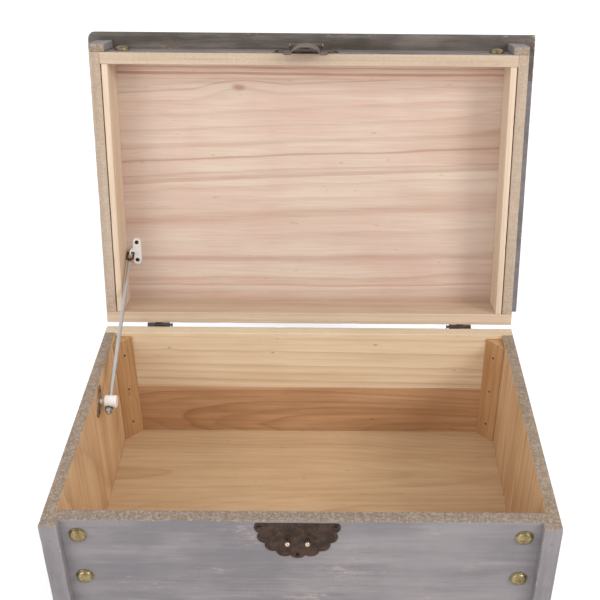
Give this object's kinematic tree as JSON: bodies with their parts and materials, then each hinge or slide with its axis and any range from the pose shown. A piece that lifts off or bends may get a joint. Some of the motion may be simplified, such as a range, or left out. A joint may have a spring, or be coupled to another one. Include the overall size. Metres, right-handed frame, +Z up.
{
  "type": "lidded toy box",
  "caption": "Wooden toy chest with a hinged lid standing open on a sliding rod stay, worn grey outside, bare wood inside, with brass studs and a scalloped flap latch.",
  "frame": {"origin": "middle of the underside of the box, on the surface that it stands on", "axes": "+X to the right along the box's width, +Y from the front to the back, +Z up"},
  "size_m": [0.578, 0.5241, 0.555],
  "materials": {
    "painted_wood": "worn grey wash over wood",
    "box_pine": "bare sanded wood, greyed outside",
    "lid_pine": "bare sanded rosy wood, greyed outside",
    "pale_pine": "bare sanded pale wood",
    "dark_nails": "dull dark steel",
    "brass_studs": "aged satin brass",
    "old_bronze": "antiqued dark bronze",
    "latch_brass": "rubbed bright brass",
    "dark_screws": "blackened steel",
    "rod_steel": "plain drawn steel",
    "dark_rubber": "dull dark rubber",
    "white_nylon": "milky moulded nylon",
    "white_bracket": "glossy white coat"
  },
  "bodies": {
    "box": {"front_board_upper": "painted_wood", "front_board_lower": "painted_wood", "back_board_upper": "box_pine", "back_board_lower": "box_pine", "side_wall_left": "box_pine", "side_wall_right": "box_pine", "floor_board_front": "pale_pine", "floor_board_middle": "pale_pine", "floor_board_back": "pale_pine", "corner_strip_back_left": "pale_pine", "corner_strip_back_right": "pale_pine", "corner_strip_front_left": "pale_pine", "corner_strip_front_right": "pale_pine", "corner_strip_nails": "dark_nails", "front_batten_left": "painted_wood", "front_batten_right": "painted_wood", "batten_nails": "dark_nails", "front_studs": "brass_studs", "latch_plate_lower": "old_bronze", "latch_posts": "latch_brass", "latch_screws_lower": "dark_screws", "hinge_leaf_box_left": "old_bronze", "hinge_leaf_box_right": "old_bronze", "hinge_pin_left": "old_bronze", "hinge_pin_right": "old_bronze", "hinge_screws_box": "old_bronze", "stay_base_plate": "old_bronze", "stay_base_screws": "dark_screws"},
    "lid": {"lid_board_front": "painted_wood", "lid_board_back": "lid_pine", "lid_front_rail": "lid_pine", "lid_hinge_rail": "lid_pine", "lid_side_left": "lid_pine", "lid_side_right": "lid_pine", "lid_lining_left": "pale_pine", "lid_lining_right": "pale_pine", "lid_batten_left": "painted_wood", "lid_batten_right": "painted_wood", "lid_batten_nails": "dark_nails", "lid_studs": "brass_studs", "latch_plate_upper": "old_bronze", "latch_hinge_pin": "latch_brass", "latch_screws_upper": "dark_screws", "hinge_leaf_lid_left": "old_bronze", "hinge_leaf_lid_right": "old_bronze", "hinge_screws_lid": "old_bronze", "stay_bracket": "white_bracket", "stay_bracket_screws": "dark_screws"},
    "latch_flap": {"latch_flap": "old_bronze"},
    "stay_rod": {"stay_rod": "rod_steel", "stay_stop_washer": "dark_rubber", "stay_stop_nut": "rod_steel"},
    "stay_block": {"stay_block": "white_nylon"}
  },
  "joints": [
    {"name": "lid_hinge", "type": "hinge", "parent": "box", "child": "lid", "pos_m": [0, 0.1832, 0.18025], "axis": [1, 0, 0], "range_deg": [0, 103.5]},
    {"name": "latch_flap_hinge", "type": "hinge", "parent": "lid", "child": "latch_flap", "pos_m": [-0.004, 0.28271, 0.538], "axis": [-1, 0, 0], "range_deg": [0, 140]},
    {"name": "stay_pivot", "type": "hinge", "parent": "lid", "child": "stay_rod", "pos_m": [-0.2465, 0.24511, 0.25712], "axis": [1, 0, 0], "range_deg": [-78.82, 0]},
    {"name": "stay_slide", "type": "slide", "parent": "stay_rod", "child": "stay_block", "axis": [0, 0.9022, 0.4314], "range_m": [0, 0.14383]}
  ],
  "couplings": [
    {"joint": "stay_pivot", "follows": "lid_hinge", "ratio": -0.76152},
    {"joint": "stay_slide", "follows": "lid_hinge", "m_per_rad": 0.079621}
  ]
}
